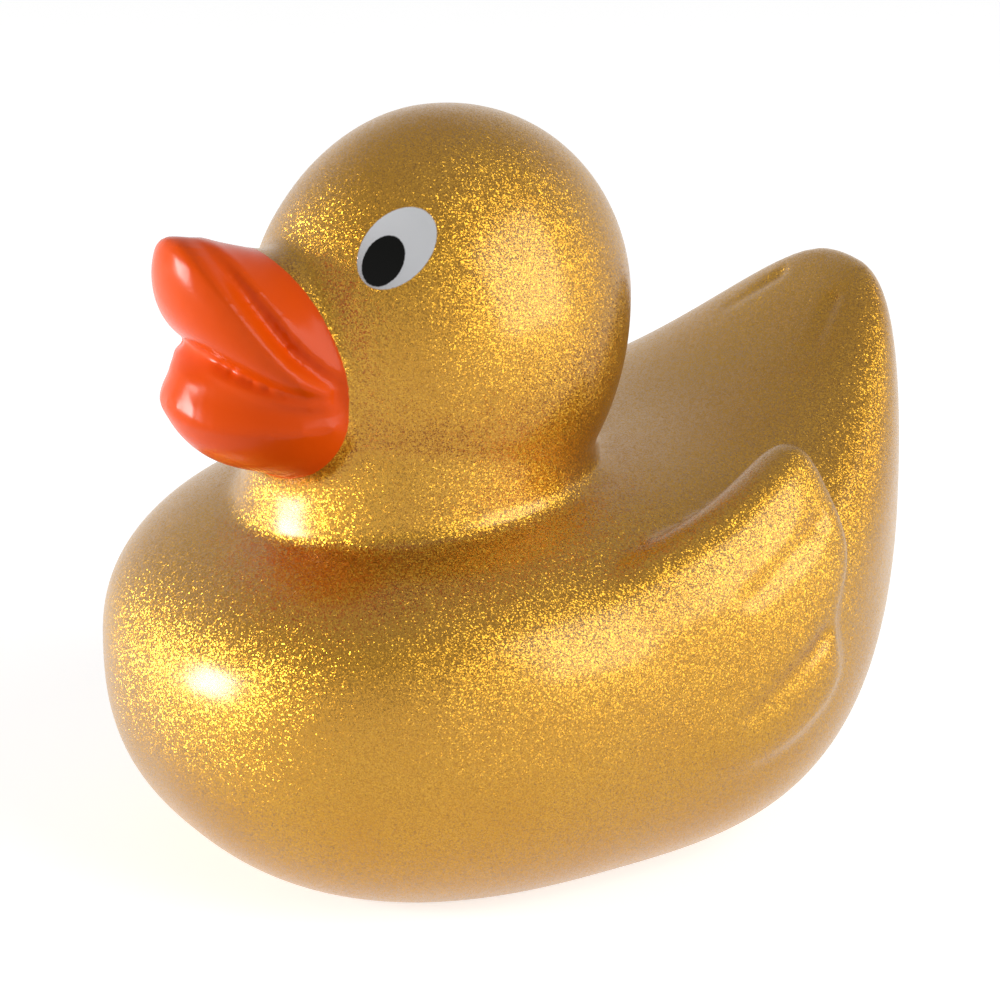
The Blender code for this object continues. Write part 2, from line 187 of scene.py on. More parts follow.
# Fine lines of the bill, each a bowed line as above, then how far it is sunk or raised, its reach, and
# its share of that at the middle: the side's edge, the valley behind the upper lip, that lip's edge,
# the mouth, the lower bill's rim, the hollow below it and the lower lip
BILL_CREASES = (
    ((33.5, 66.0, 11.5, 25.5, 53.5, 1.5), -0.25, 0.8, 0.0),
    ((35.5, 66.5, 10.5, 26.0, 53.0, 1.5), 0.7, 0.9, 0.0),
    ((37.5, 66.0, 11.5, 27.0, 52.5, 1.5), -0.35, 0.8, 0.2),
    ((35.5, 55.5, 11.0, 26.0, 51.5, 2.0), 0.45, 0.7, 0.3),
    ((36.0, 54.5, 11.5, 26.0, 51.0, 2.0), -0.4, 0.7, 0.5),
    ((37.5, 51.5, 11.0, 26.0, 50.5, 1.5), 0.45, 1.4, 0.4),
    ((38.5, 49.0, 11.5, 26.0, 49.0, 1.0), -0.25, 0.9, 0.5),
)

# How those lines are drawn: steps along each, the share of the way to a mouth corner at which it comes to
# full depth, the point it is pressed toward, the planes ahead of which and above which the bill gets finer
# faces, and the rounds of smoothing there before and after
BILL_STEPS = 24
BILL_FULL_FROM = 0.5
BILL_CORE = (0.0, -27.0, 54.0)
BILL_FINE_Y = -27.0
BILL_FINE_Z = 42.0
BILL_ROUNDS_BEFORE = 12
BILL_ROUNDS_AFTER = 4

# Edge of the orange enamel: the points that lead it as (y, z) seen from the side, closed ahead of the
# bill, and the steps it is measured in
BILL_PAINT = (
    (-33.0, 68.0), (-26.5, 63.0), (-25.0, 55.0), (-24.0, 48.0), (-29.0, 40.0),
    (-40.0, 34.0), (-52.0, 52.0), (-42.0, 74.0),
)
PAINT_EDGE_STEPS = 240

# Eyes: turn and tilt in degrees of the plane they are printed on, then the centre, half width, half height
# and lean of each oval
EYE_TURN = 48.0
EYE_TILT = 32.0
EYE_WHITE = ((10.5, -19.0, 65.5), 3.3, 4.5, 35.0)
EYE_PUPIL = ((10.5, -20.5, 64.5), 2.0, 2.6, 22.0)

# How soft and how ragged the edge of each painted place is, and the size of the ragged spots
ENAMEL_EDGE = (0.06, 0.16)
WHITE_EDGE = (0.05, 0.06)
BLACK_EDGE = (0.05, 0.08)
EDGE_GRAIN = 0.4

# Gold flake paint: the flakes' size across, a little coarser than sprayed flakes are so that each one
# still shows, how far each leans from the surface, the size of the thicker clouds of spray, and its colours
FLAKE = 0.11
FLAKE_LEAN = 0.7
SPRAY_CLOUD = 11.11
FLAKE_DEEP = "#A27018"
FLAKE_BRIGHT = "#D8A636"
SPRAY_BROWN = "#B68020"
GOLD_METALLIC = 0.92
GOLD_ROUGHNESS = 0.32

# Clear lacquer over the gold, then the enamel and the prints
LACQUER_WEIGHT = 0.6
LACQUER_ROUGHNESS = 0.24
ENAMEL_DEEP = "#D64602"
ENAMEL_BRIGHT = "#DC4E06"
PRINT_WHITE = "#C6C7C9"
PRINT_BLACK = "#0C0C0A"
ENAMEL_ROUGHNESS = 0.22
ENAMEL_SHEEN = 0.15

# Whistle's plastic: the size of its clouds and of its grain, the grain's depth and strength, its colours
PLASTIC_CLOUD = 4.0
PLASTIC_GRAIN = 0.333
PLASTIC_GRAIN_DEPTH = 0.02
PLASTIC_GRAIN_STRENGTH = 0.4
PLASTIC_GREY = "#DCDCD6"
PLASTIC_WHITE = "#EEEEEA"
PLASTIC_ROUGHNESS = 0.38

# Reed's brass: the width and length of the lines that rolling leaves, its colours, and how rough it is
# between the lines and on them
ROLLED_WIDTH = 0.125
ROLLED_LENGTH = 3.333
BRASS_DEEP = "#C9A24A"
BRASS_BRIGHT = "#E0BE6C"
BRASS_SMOOTH = 0.22
BRASS_ROUGH = 0.36

# Floor: its half width, how far it lies below the duck so that the two flats stay apart, its colour, and
# how far its own glow lifts it towards white for rays that see it straight or mirrored
FLOOR_HALF_WIDTH = 700.0
FLOOR_GAP = 0.02
FLOOR_GREY = "#D0D0D0"
FLOOR_ROUGHNESS = 0.9
FLOOR_SHEEN = 0.1
FLOOR_GLOW = 0.68

# Room: its strength as light, beside 1 where it is seen or mirrored. It is white up to the first height
# and turns to the ceiling's grey and then to the paler one overhead, as shares of straight up
ROOM_LIGHT = 0.45
ROOM_WHITE = "#FFFFFF"
CEILING_GREY = "#A6A6A6"
CEILING_SPAN = (0.15, 0.75)
OVERHEAD_GREY = "#D2D2D2"
OVERHEAD_SPAN = (0.75, 0.95)

# Softboxes: turn from straight ahead toward the duck's left and rise, both in degrees, distance and
# side, and power in watts. Then the point that they face
FRONT_SOFTBOX = (-25.0, 4.0, 550.0, 180.0, 3.6)
SIDE_SOFTBOX = (120.0, 26.0, 600.0, 500.0, 3.2)
LIGHT_TARGET = (0.0, 0.0, 35.0)

# Camera: turn and rise like the softboxes', distance, the point it looks at, lens and sensor
CAMERA_TURN = 60.0
CAMERA_RISE = 20.0
CAMERA_DISTANCE = 450.0
CAMERA_TARGET = (0.0, -1.67, 33.65)
LENS = 160.2
SENSOR = 36.0

# Places of a colour mix's two colours and of its result among its sockets, then those of a direction mix
COLOUR_A, COLOUR_B, COLOUR_OUT = 6, 7, 2
WAY_A, WAY_B, WAY_OUT = 4, 5, 1


def along(values, t):
    """A size that holds along the torso and turns into its breast and tail values at the ends."""
    breast, torso, tail = values
    toward_breast = np.maximum(-t, 0.0) ** BREAST_SHARPNESS
    toward_tail = np.maximum(t, 0.0) ** TAIL_SHARPNESS
    return torso + (breast - torso) * toward_breast + (tail - torso) * toward_tail


def between(low, high, t):
    """A size that runs evenly from low at t = -1 to high at t = 1."""
    return low + (high - low) * (t + 1.0) / 2.0


def bluntness(t, power):
    """Factor that turns the round end of a ball into a blunter one."""
    round_end = np.sqrt(np.maximum(1.0 - t * t, TINY))
    return np.maximum(1.0 - np.abs(t) ** power, 0.0) ** (1.0 / power) / round_end


def squareness(a, b, power):
    """Factor that turns a round section with directions a, b into a squarer one."""
    size = np.maximum(np.hypot(a, b), TINY)
    rounded = (np.abs(a / size) ** power + np.abs(b / size) ** power) ** (1.0 / power)
    # At a ball's poles a and b are 0, where any factor will do
    return 1.0 / np.maximum(rounded, 0.5)


def mesh_object(name, bm):
    """Put a bmesh into a new object outside every collection."""
    bmesh.ops.recalc_face_normals(bm, faces=bm.faces)
    mesh = bpy.data.meshes.new(name)
    bm.to_mesh(mesh)
    bm.free()
    return bpy.data.objects.new(name, mesh)


def ball(name, place):
    """A ball whose unit points are moved by place(x, y, z) to millimetre positions."""
    bm = bmesh.new()
    bmesh.ops.create_uvsphere(bm, u_segments=BALL_SEGMENTS, v_segments=BALL_RINGS, radius=1.0)
    unit = np.array([vert.co for vert in bm.verts])
    moved = np.stack(place(*unit.T), axis=1) * MM
    for vert, point in zip(bm.verts, moved):
        vert.co = point
    return mesh_object(name, bm)


def torso():
    """The torso with its tail."""
    def place(x, z, y):
        middle = (TORSO_REAR - TORSO_FRONT) / 2
        half_length = (TORSO_REAR + TORSO_FRONT) / 2
        end = np.where(y < 0, bluntness(y, BREAST_BLUNTNESS), bluntness(y, RUMP_BLUNTNESS))
        power = np.where(z > 0, BACK_SQUARENESS, BELLY_SQUARENESS)
        size = squareness(x, z, power) * end
        rise = along(TORSO_RISES, y)
        drop = between(BREAST_DROP, RUMP_DROP, y)
        height = np.where(z > 0, rise, drop)
        wide = x * size * along(TORSO_HALF_WIDTHS, y)
        lift = along(TORSO_MIDDLES, y) + z * size * height
        reach = TORSO_CENTRE_Y + half_length * y + middle * y * y
        return wide, reach, np.maximum(lift, -BASE_TRIM)
    return ball("torso", place)


def head():
    """The head."""
    def place(x, y, z):
        front = between(CHEEK_FRONT, CROWN_FRONT, z)
        back = between(CHEEK_BACK, CROWN_BACK, z)
        reach = np.where(y < 0, front, back)
        height = np.where(z > 0, HEAD_RISE, HEAD_DROP)
        wide = between(CHEEK_HALF_WIDTH, CROWN_HALF_WIDTH, z)
        return x * wide, HEAD_CENTRE_Y + y * reach, HEAD_CENTRE_Z + z * height
    return ball("head", place)


def neck():
    """The leaning column that joins the head to the torso."""
    def place(x, y, z):
        radius = between(NECK_LOW_RADIUS, NECK_HIGH_RADIUS, z) * bluntness(z, NECK_BLUNTNESS)
        centre_y = between(NECK_LOW_Y, NECK_HIGH_Y, z)
        return x * radius, centre_y + y * radius, NECK_Z + z * NECK_HALF_HEIGHT
    return ball("neck", place)


def ring_point(points, share):
    """Points of the smooth closed curve that the given points lead, at shares of the way round."""
    points = np.array(points)
    count = len(points)
    whole, part = np.divmod(share * count, 1.0)
    index = whole.astype(int)
    rest = 1.0 - part
    weights = (rest ** 3, 4 - 6 * part ** 2 + 3 * part ** 3, 4 - 6 * rest ** 2 + 3 * rest ** 3, part ** 3)
    place = np.zeros((len(share), points.shape[1]))
    for step, weight in enumerate(weights):
        place += (weight / 6.0)[:, None] * points[(index + step - 1) % count]
    return place


def eased(value, start, end):
    """A smooth step from 0 at start to 1 at end."""
    share = np.clip((value - start) / (end - start), 0.0, 1.0)
    return share * share * (3.0 - 2.0 * share)


def wing_side(y, z):
    """Distance of the wing's outer side from the middle plane."""
    rearward = eased(y, WING_SIDE_FROM, WING_SIDE_TO)
    swell = WING_FRONT_SWELL + (WING_REAR_SWELL - WING_FRONT_SWELL) * rearward
    rise = WING_FRONT_RISE + (WING_REAR_RISE - WING_FRONT_RISE) * rearward
    along_torso = np.clip((y - TORSO_CENTRE_Y) / TORSO_REAR, -WING_PLAN_END, WING_PLAN_END)
    above = np.clip((z - WING_CENTRE_Z) / rise, 0.0, WING_LEVEL_END)
    below = np.clip((WING_CENTRE_Z - z) / WING_DROP, 0.0, WING_LEVEL_END)
    level = (1.0 - np.maximum(above, below) ** WING_SIDE_SQUARENESS) ** (1.0 / WING_SIDE_SQUARENESS)
    plan = (1.0 - np.abs(along_torso) ** RUMP_BLUNTNESS) ** (1.0 / RUMP_BLUNTNESS)
    return swell * level * plan


def wing(side):
    """A wing that stands off the torso at its top and rear edges, on side +1 or -1."""
    def place(y, z, x):
        spread = np.hypot(y, z)
        share = np.arctan2(z, y) / math.tau % 1.0
        reach = ring_point(WING_OUTLINE, share) - WING_MIDDLE
        across = WING_MIDDLE + reach * spread[:, None]
        edge = (1.0 - np.minimum(spread, 1.0) ** WING_BLUNTNESS) ** (1.0 / WING_BLUNTNESS)
        thickness = np.where(x > 0, WING_RIM * edge, WING_ROOT * x)
        return side * (wing_side(*across.T) - WING_RIM + thickness), across[:, 0], across[:, 1]
    return ball("wing", place)


def bowed(line, across):
    """Points of a line that bows from one mouth corner, across = -1, to the other, across = 1."""
    reach, height, half_width, corner_reach, corner_height, arch = line
    bow = np.sqrt(np.maximum(1.0 - across * across, 0.0))
    forward = corner_reach + (reach - corner_reach) * bow
    return half_width * across, -forward, corner_height + (height - corner_height) * bow ** arch


def bill():
    """The bill, a ball whose poles are the mouth corners and whose meridians are the bowed lines."""
    def place(x, y, z):
        share = np.arctan2(y, x) / math.tau % 1.0
        return bowed(ring_point(BILL_LINES, share).T, z)
    return ball("bill", place)


def evaluated(item, name):
    """A new object with the mesh that the item's modifiers give."""
    if item.name not in bpy.context.scene.collection.objects:
        bpy.context.scene.collection.objects.link(item)
    bpy.context.view_layer.update()
    graph = bpy.context.evaluated_depsgraph_get()
    mesh = bpy.data.meshes.new_from_object(item.evaluated_get(graph))
    mesh.name = name
    bpy.data.objects.remove(item, do_unlink=True)
    return bpy.data.objects.new(name, mesh)


def joined(items, name):
    """One object that holds the meshes of all items."""
    bm = bmesh.new()
    for item in items:
        solid = evaluated(item, name)
        bm.from_mesh(solid.data)
        bpy.data.objects.remove(solid, do_unlink=True)
    mesh = bpy.data.meshes.new(name)
    bm.to_mesh(mesh)
    bm.free()
    return bpy.data.objects.new(name, mesh)


def fused(items, name, voxel):
    """The outer skin of overlapping forms, as one closed mesh of even quads."""
    item = joined(items, name)
    remesh = item.modifiers.new("fuse", 'REMESH')
    remesh.mode = 'VOXEL'
    remesh.voxel_size = voxel * MM
    return evaluated(item, name)


def softened(item, name, weights, rounds):
    """Smooth the item's creases, each point by its weight."""
    group = item.vertex_groups.new(name="soft")
    for index, weight in enumerate(weights):
        group.add([index], float(weight), 'REPLACE')
    smooth = item.modifiers.new("soften", 'SMOOTH')
    smooth.factor = SOFT_STEP
    smooth.iterations = int(rounds)
    smooth.vertex_group = group.name
    return evaluated(item, name)


def points_of(item):
    """The item's vertices in millimetres, one row each."""
    points = np.empty(len(item.data.vertices) * 3, dtype=np.float32)
    item.data.vertices.foreach_get("co", points)
    return points.reshape(-1, 3).astype(float) / MM


def duck_forms():
    """Every form that fuses into the duck's outer skin."""
    forms = [torso(), head(), neck(), bill()]
    for side in (1, -1):
        forms.append(wing(side))
    return forms


def soft_weights(points):
    """How much each point of the skin is smoothed, from 0 to 1."""
    x, y, z = np.abs(points[:, 0]), points[:, 1], points[:, 2]
    wing_front = near(x - WING_SOFT_X, WING_SOFT_DEPTH) * near(y - WING_SOFT_Y, WING_SOFT_REACH)
    neck_foot = near(np.hypot(x, y - NECK_LOW_Y) - NECK_LOW_RADIUS, NECK_SOFT_REACH)
    neck_foot = neck_foot * near(z - NECK_SOFT_Z, NECK_SOFT_REACH)
    bill_root = near(y - BILL_ROOT_Y, BILL_ROOT_REACH) * near(x, BILL_ROOT_HALF_WIDTH)
    bill_root = bill_root * near(z - BILL_ROOT_Z, BILL_ROOT_HALF_HEIGHT)
    return np.clip(SOFT_EVERYWHERE + wing_front + neck_foot + bill_root, 0.0, 1.0)


def near(distance, reach):
    """A weight that falls softly from 1 at no distance to 0 past reach."""
    return np.clip(SOFT_FULLNESS * (1.0 - (distance / reach) ** 2), 0.0, 1.0)


def line_distance(points, start, end):
    """Distance of each point from the line between start and end, and its share of the way along."""
    start, end = np.array(start), np.array(end)
    run = end - start
    share = np.clip((points - start) @ run / (run @ run), 0.0, 1.0)
    return np.linalg.norm(points - start - share[:, None] * run, axis=1), share


def creased(item):
    """Press the wings' and the tail's creases into the skin."""
    points = points_of(item)
    normals = np.empty(len(points) * 3, dtype=np.float32)
    item.data.vertex_normals.foreach_get("vector", normals)
    normals = normals.reshape(-1, 3)
    mirrored = points * np.where(points[:, :1] < 0, (-1.0, 1.0, 1.0), (1.0, 1.0, 1.0))
    sunk = np.zeros(len(points))
    for lines, depth, width in ((WING_CREASES, WING_CREASE_DEPTH, WING_CREASE_WIDTH),
                                (TAIL_CREASES, TAIL_CREASE_DEPTH, TAIL_CREASE_WIDTH)):
        for start, end in lines:
            distance, share = line_distance(mirrored, start, end)
            fading = 1.0 - CREASE_FADING * share
            sunk = np.maximum(sunk, depth * fading * np.exp(-(distance / width) ** 2))
    moved = (points - normals * sunk[:, None]) * MM
    item.data.vertices.foreach_set("co", moved.ravel())
    item.data.update()


def rounded_skin():
    """The duck's outer skin, fused and softened, creased, lined at the bill and cut flat below."""
    skin = fused(duck_forms(), "duck_skin", SKIN_VOXEL)
    skin = softened(skin, "duck_skin", soft_weights(points_of(skin)), SOFT_ROUNDS)
    creased(skin)
    lined(skin)
    return bored(skin)


def lined(item):
    """Sink and raise the bill's fine lines in the skin, which gets smaller faces there."""
    refined_bill(item, 1, BILL_ROUNDS_BEFORE)
    points = points_of(item)
    away = points - BILL_CORE
    away /= np.linalg.norm(away, axis=1)[:, None]
    lift = np.zeros(len(points))
    for line, sunk, reach, middle in BILL_CREASES:
        across = np.linspace(-1.0, 1.0, BILL_STEPS + 1)
        chain = np.stack(bowed(line, across), axis=1)
        pressed = np.zeros(len(points))
        for start, end, place in zip(chain, chain[1:], (across[1:] + across[:-1]) / 2.0):
            strength = middle + (1.0 - middle) * min(1.0, abs(place) / BILL_FULL_FROM)
            distance = line_distance(points, start, end)[0]
            pressed = np.maximum(pressed, strength * np.exp(-(distance / reach) ** 2))
        lift -= sunk * pressed
    moved = (points + away * lift[:, None]) * MM
    item.data.vertices.foreach_set("co", moved.ravel())
    refined_bill(item, 0, BILL_ROUNDS_AFTER)


def refined_bill(item, cuts, rounds):
    """Cut the bill's edges into smaller ones and smooth its points that many rounds."""
    bm = bmesh.new()
    bm.from_mesh(item.data)
    if cuts:
        ahead = [edge for edge in bm.edges if all(on_bill(vert) for vert in edge.verts)]
        bmesh.ops.subdivide_edges(bm, edges=ahead, cuts=cuts, use_grid_fill=True, smooth=1.0)
    ahead = [vert for vert in bm.verts if on_bill(vert)]
    for _ in range(rounds):
        bmesh.ops.smooth_vert(bm, verts=ahead, factor=SOFT_STEP,
                              use_axis_x=True, use_axis_y=True, use_axis_z=True)
    bm.to_mesh(item.data)
    bm.free()


def on_bill(vert):
    """Whether a point of the skin lies on the bill."""
    return vert.co.y < BILL_FINE_Y * MM and vert.co.z > BILL_FINE_Z * MM


def bored(skin):
    """Cut the skin flat at its base and open the pocket that the whistle sits in."""
    bm = bmesh.new()
    bm.from_mesh(skin.data)
    everything = bm.verts[:] + bm.edges[:] + bm.faces[:]
    cut = bmesh.ops.bisect_plane(bm, geom=everything, plane_co=(0, 0, 0), plane_no=(0, 0, -1),
                                 clear_outer=True)
    rim = [part for part in cut["geom_cut"] if isinstance(part, bmesh.types.BMEdge)]
    bmesh.ops.edgeloop_fill(bm, edges=rim)
    bm.to_mesh(skin.data)
    bm.free()
    pocket = whistle_pocket()
    boolean = skin.modifiers.new("pocket", 'BOOLEAN')
    boolean.operation = 'DIFFERENCE'
    boolean.solver = 'EXACT'
    boolean.object = pocket
    made = evaluated(skin, "duck_skin")
    bpy.data.objects.remove(pocket, do_unlink=True)
    return made


def whistle_pocket():
    """The turned space in the base: a bore through the wall that widens above it."""
    bm = bmesh.new()
    profile = ((0.0, POCKET_START), (BORE_RADIUS, POCKET_START), (BORE_RADIUS, BORE_WALL),
               (POCKET_RADIUS, BORE_WALL), (POCKET_RADIUS, POCKET_TOP), (0.0, POCKET_TOP))
    line = [bm.verts.new((radius * MM, WHISTLE_Y * MM, height * MM)) for radius, height in profile]
    edges = [bm.edges.new(pair) for pair in zip(line, line[1:])]
    bmesh.ops.spin(bm, geom=line + edges, cent=(0.0, WHISTLE_Y * MM, 0.0), axis=(0, 0, 1),
                   angle=math.tau, steps=POCKET_STEPS, use_merge=True)
    bmesh.ops.remove_doubles(bm, verts=bm.verts[:], dist=SAME_POINT * MM)
    pocket = mesh_object("whistle_pocket", bm)
    bpy.context.scene.collection.objects.link(pocket)
    return pocket


def inside_ring(points, ring):
    """Whether each of the points (y, z) lies inside the closed ring of points."""
    y, z = points[:, 0], points[:, 1]
    inside = np.zeros(len(points), dtype=bool)
    for (y0, z0), (y1, z1) in zip(ring, np.roll(ring, -1, axis=0)):
        crosses = (z0 > z) != (z1 > z)
        if z0 != z1:
            inside ^= crosses & (y < y0 + (z - z0) * (y1 - y0) / (z1 - z0))
    return inside


def ring_edge(points, leading):
    """Distance of points (y, z) inside (+) or outside (-) the smooth ring that leading points give."""
    ring = ring_point(leading, np.arange(PAINT_EDGE_STEPS) / PAINT_EDGE_STEPS)
    distance = np.full(len(points), np.inf)
    for start, end in zip(ring, np.roll(ring, -1, axis=0)):
        distance = np.minimum(distance, line_distance(points, start, end)[0])
    return np.where(inside_ring(points, ring), distance, -distance)


def oval_edge(points, oval):
    """Distance of points inside (+) or outside (-) an oval printed on each side of the head."""
    centre, half_width, half_height, lean = oval
    turn, tilt, lean = (math.radians(angle) for angle in (EYE_TURN, EYE_TILT, lean))
    right = np.array((math.cos(turn), math.sin(turn), 0.0))
    facing = np.array((math.sin(turn) * math.cos(tilt), -math.cos(turn) * math.cos(tilt), math.sin(tilt)))
    up = np.cross(facing, right)
    away = np.abs(points * (1.0, 0.0, 0.0)) + points * (0.0, 1.0, 1.0) - centre
    across, along_up = away @ right, away @ up
    wide = (across * math.cos(lean) - along_up * math.sin(lean)) / half_width
    tall = (across * math.sin(lean) + along_up * math.cos(lean)) / half_height
    size = np.hypot(wide, tall)
    return (1.0 - size) * half_width


def mark(item, name, values):
    """Keep one number a point on the mesh, for its paint to read."""
    item.data.attributes.new(name, 'FLOAT', 'POINT').data.foreach_set("value", values.astype(np.float32))


def linear(colour):
    """Linear red, green, blue and opacity of an sRGB hex colour."""
    parts = [int(colour[start:start + 2], 16) / 255.0 for start in (1, 3, 5)]
    return [part / 12.92 if part <= 0.04045 else ((part + 0.055) / 1.055) ** 2.4 for part in parts] + [1.0]


def new_material(name):
    """A new material, its node tree and its Principled shader."""
    material = bpy.data.materials.new(name)
    material.use_nodes = True
    return material, material.node_tree, material.node_tree.nodes["Principled BSDF"]


def add_node(tree, kind, inputs=None, **settings):
    """Add a node: settings are its properties, inputs its sockets' values or the sockets linked to them."""
    node = tree.nodes.new(kind)
    for name, value in settings.items():
        setattr(node, name, value)
    for name, value in (inputs or {}).items():
        if isinstance(value, bpy.types.NodeSocket):
            tree.links.new(value, node.inputs[name])
        else:
            node.inputs[name].default_value = value
    return node


def painted_area(tree, place, name, softness, raggedness):
    """Share of paint inside an edge kept on the mesh, softened and roughened by lengths in millimetres."""
    distance = add_node(tree, 'ShaderNodeAttribute', attribute_name=name).outputs["Fac"]
    noise = add_node(tree, 'ShaderNodeTexNoise', {
        "Vector": place, "Scale": 1.0 / (EDGE_GRAIN * MM), "Detail": 1.0}).outputs[0]
    shifted = add_node(tree, 'ShaderNodeMath', {0: noise, 1: raggedness, 2: distance},
                       operation='MULTIPLY_ADD')
    return add_node(tree, 'ShaderNodeMapRange', {
        "Value": shifted.outputs[0],
        "From Min": raggedness / 2 - softness,
        "From Max": raggedness / 2 + softness,
    }).outputs[0]


def duck_paint():
    """Gold flake spray paint on moulded vinyl, with orange enamel on the bill and printed eyes."""
    material, tree, shader = new_material("gold flake spray paint")
    place = add_node(tree, 'ShaderNodeTexCoord').outputs["Object"]
    normal = add_node(tree, 'ShaderNodeNewGeometry').outputs["Normal"]

    # Bronze flakes in lacquer: each lies at its own small lean, which gives the eye its sparkle
    flakes = add_node(tree, 'ShaderNodeTexVoronoi', {"Vector": place, "Scale": 1.0 / (FLAKE * MM)})
    centred = add_node(tree, 'ShaderNodeVectorMath', {0: flakes.outputs["Color"], 1: (0.5, 0.5, 0.5)},
                       operation='SUBTRACT')
    leaning = add_node(tree, 'ShaderNodeVectorMath', {0: centred.outputs[0], "Scale": FLAKE_LEAN},
                       operation='SCALE')
    leant = add_node(tree, 'ShaderNodeVectorMath', {0: normal, 1: leaning.outputs[0]}, operation='ADD')
    flake_normal = add_node(tree, 'ShaderNodeVectorMath', {0: leant.outputs[0]}, operation='NORMALIZE')
    tint = add_node(tree, 'ShaderNodeSeparateColor', {0: flakes.outputs["Color"]}).outputs[0]

    # The spray lies a little thicker in some places, which turns the gold browner there
    cloud = add_node(tree, 'ShaderNodeTexNoise', {
        "Vector": place, "Scale": 1.0 / (SPRAY_CLOUD * MM), "Detail": 2.0}).outputs[0]
    gold = add_node(tree, 'ShaderNodeMix', {
        0: tint, COLOUR_A: linear(FLAKE_DEEP), COLOUR_B: linear(FLAKE_BRIGHT)}, data_type='RGBA')
    gold = add_node(tree, 'ShaderNodeMix', {
        0: cloud, COLOUR_A: gold.outputs[COLOUR_OUT], COLOUR_B: linear(SPRAY_BROWN)}, data_type='RGBA')

    # Orange enamel and the eyes' print cover the flakes with smooth glossy colour
    bill = painted_area(tree, place, "bill_paint", *ENAMEL_EDGE)
    white = painted_area(tree, place, "eye_white", *WHITE_EDGE)
    black = painted_area(tree, place, "eye_pupil", *BLACK_EDGE)
    enamel = add_node(tree, 'ShaderNodeMix', {
        0: cloud, COLOUR_A: linear(ENAMEL_DEEP), COLOUR_B: linear(ENAMEL_BRIGHT)}, data_type='RGBA')
    colour = gold
    for share, paint in ((bill, enamel.outputs[COLOUR_OUT]), (white, linear(PRINT_WHITE)),
                         (black, linear(PRINT_BLACK))):
        colour = add_node(tree, 'ShaderNodeMix', {
            0: share, COLOUR_A: colour.outputs[COLOUR_OUT], COLOUR_B: paint}, data_type='RGBA')
    tree.links.new(colour.outputs[COLOUR_OUT], shader.inputs["Base Color"])

    # Metal, roughness and lacquer each turn from the gold's value to that of the paint over it. The
    # lacquer lies on the gold alone and gives it a soft white glint over the sparkle
    covered = add_node(tree, 'ShaderNodeMath', {0: bill, 1: white}, operation='MAXIMUM').outputs[0]
    for socket, gold_value, covered_value in (("Metallic", GOLD_METALLIC, 0.0),
                                              ("Roughness", GOLD_ROUGHNESS, ENAMEL_ROUGHNESS),
                                              ("Coat Weight", LACQUER_WEIGHT, 0.0)):
        turned = add_node(tree, 'ShaderNodeMapRange', {
            "Value": covered, "To Min": gold_value, "To Max": covered_value})
        tree.links.new(turned.outputs[0], shader.inputs[socket])
    smooth = add_node(tree, 'ShaderNodeMix', {
        0: covered, WAY_A: flake_normal.outputs[0], WAY_B: normal}, data_type='VECTOR')
    tree.links.new(smooth.outputs[WAY_OUT], shader.inputs["Normal"])
    shader.inputs["Specular IOR Level"].default_value = ENAMEL_SHEEN
    shader.inputs["Coat Roughness"].default_value = LACQUER_ROUGHNESS
    return material


def moulded_plastic():
    """White polyethylene of the whistle's plug: moulded, so a little cloudy, with a grain that dulls it."""
    material, tree, shader = new_material("moulded white polyethylene")
    place = add_node(tree, 'ShaderNodeTexCoord').outputs["Object"]
    cloud = add_node(tree, 'ShaderNodeTexNoise', {
        "Vector": place, "Scale": 1.0 / (PLASTIC_CLOUD * MM), "Detail": 3.0}).outputs[0]
    colour = add_node(tree, 'ShaderNodeMix', {
        0: cloud, COLOUR_A: linear(PLASTIC_GREY), COLOUR_B: linear(PLASTIC_WHITE)}, data_type='RGBA')
    tree.links.new(colour.outputs[COLOUR_OUT], shader.inputs["Base Color"])
    grain = add_node(tree, 'ShaderNodeTexNoise', {
        "Vector": place, "Scale": 1.0 / (PLASTIC_GRAIN * MM)}).outputs[0]
    bump = add_node(tree, 'ShaderNodeBump', {
        "Height": grain, "Distance": PLASTIC_GRAIN_DEPTH * MM, "Strength": PLASTIC_GRAIN_STRENGTH})
    tree.links.new(bump.outputs[0], shader.inputs["Normal"])
    shader.inputs["Roughness"].default_value = PLASTIC_ROUGHNESS
    return material


def rolled_brass():
    """Thin spring brass of the reed: the fine lines that rolling leaves streak its shine."""
    material, tree, shader = new_material("rolled spring brass")
    place = add_node(tree, 'ShaderNodeTexCoord').outputs["Object"]
    across, along_line = 1.0 / (ROLLED_WIDTH * MM), 1.0 / (ROLLED_LENGTH * MM)
    stretched = add_node(tree, 'ShaderNodeMapping', {
        "Vector": place, "Scale": (across, along_line, along_line)}).outputs[0]
    lines = add_node(tree, 'ShaderNodeTexNoise', {
        "Vector": stretched, "Scale": 1.0, "Detail": 2.0}).outputs[0]
    colour = add_node(tree, 'ShaderNodeMix', {
        0: lines, COLOUR_A: linear(BRASS_DEEP), COLOUR_B: linear(BRASS_BRIGHT)}, data_type='RGBA')
    tree.links.new(colour.outputs[COLOUR_OUT], shader.inputs["Base Color"])
    rough = add_node(tree, 'ShaderNodeMapRange', {
        "Value": lines, "To Min": BRASS_SMOOTH, "To Max": BRASS_ROUGH})
    tree.links.new(rough.outputs[0], shader.inputs["Roughness"])
    shader.inputs["Metallic"].default_value = 1.0
    return material


def seen_rays(tree):
    """1 for rays from the camera and for mirrored and clear ones, 0 for the rays that carry light."""
    rays = add_node(tree, 'ShaderNodeLightPath').outputs
    seen = rays["Is Camera Ray"]
    for kind in ("Is Glossy Ray", "Is Transmission Ray"):
        seen = add_node(tree, 'ShaderNodeMath', {0: seen, 1: rays[kind]}, operation='MAXIMUM').outputs[0]
    return seen


